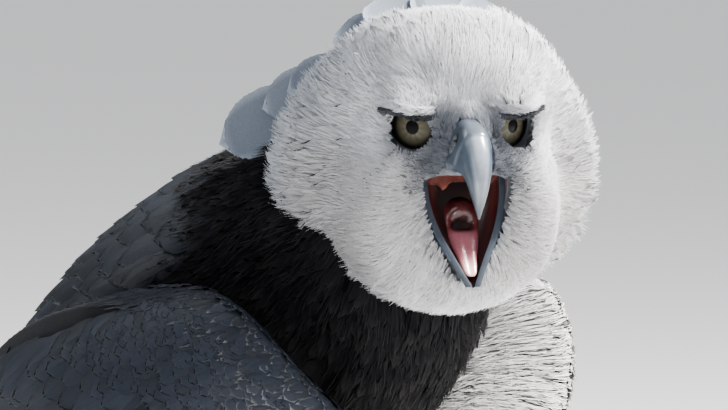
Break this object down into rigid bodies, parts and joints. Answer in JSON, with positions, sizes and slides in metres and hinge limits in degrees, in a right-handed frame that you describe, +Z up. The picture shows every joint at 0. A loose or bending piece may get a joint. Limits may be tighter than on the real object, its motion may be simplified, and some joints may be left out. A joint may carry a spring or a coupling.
{
  "type": "harpy eagle",
  "caption": "Life-size standing harpy eagle, head turned to its right with a raised facial ruff and an open bill, folded wings and feathered body.",
  "frame": {"origin": "centre of the bounding box in X and Y, at floor level in Z", "axes": "+Z up; the bird faces -Y with its tail towards +Y; +X is the bird's left"},
  "size_m": [0.3318, 0.8542, 0.6649],
  "materials": {
    "head_feather": "soft white and pale grey feathers",
    "slate_feather": "slate to black feathers with a faint sheen",
    "barred_feather": "white feathers with fine black bars",
    "horn": "blue-grey horn",
    "eye": "wet grey-brown eye",
    "tongue": "wet pink flesh",
    "leg_skin": "yellow scaled skin",
    "claw": "black polished horn"
  },
  "bodies": {
    "root": {"bill_lower": "horn", "bill_upper": "horn", "claw_left_hind": "claw", "claw_left_inner": "claw", "claw_left_middle": "claw", "claw_left_outer": "claw", "claw_right_hind": "claw", "claw_right_inner": "claw", "claw_right_middle": "claw", "claw_right_outer": "claw", "eye_left": "eye", "eye_right": "eye", "head": "head_feather", "neck": "slate_feather", "tail": "slate_feather", "tarsus_left": "leg_skin", "tarsus_right": "leg_skin", "thigh_left": "barred_feather", "thigh_right": "barred_feather", "toe_left_hind": "leg_skin", "toe_left_inner": "leg_skin", "toe_left_middle": "leg_skin", "toe_left_outer": "leg_skin", "toe_right_hind": "leg_skin", "toe_right_inner": "leg_skin", "toe_right_middle": "leg_skin", "toe_right_outer": "leg_skin", "tongue": "tongue", "torso": "slate_feather", "wing_left": "slate_feather", "wing_right": "slate_feather"}
  },
  "joints": []
}
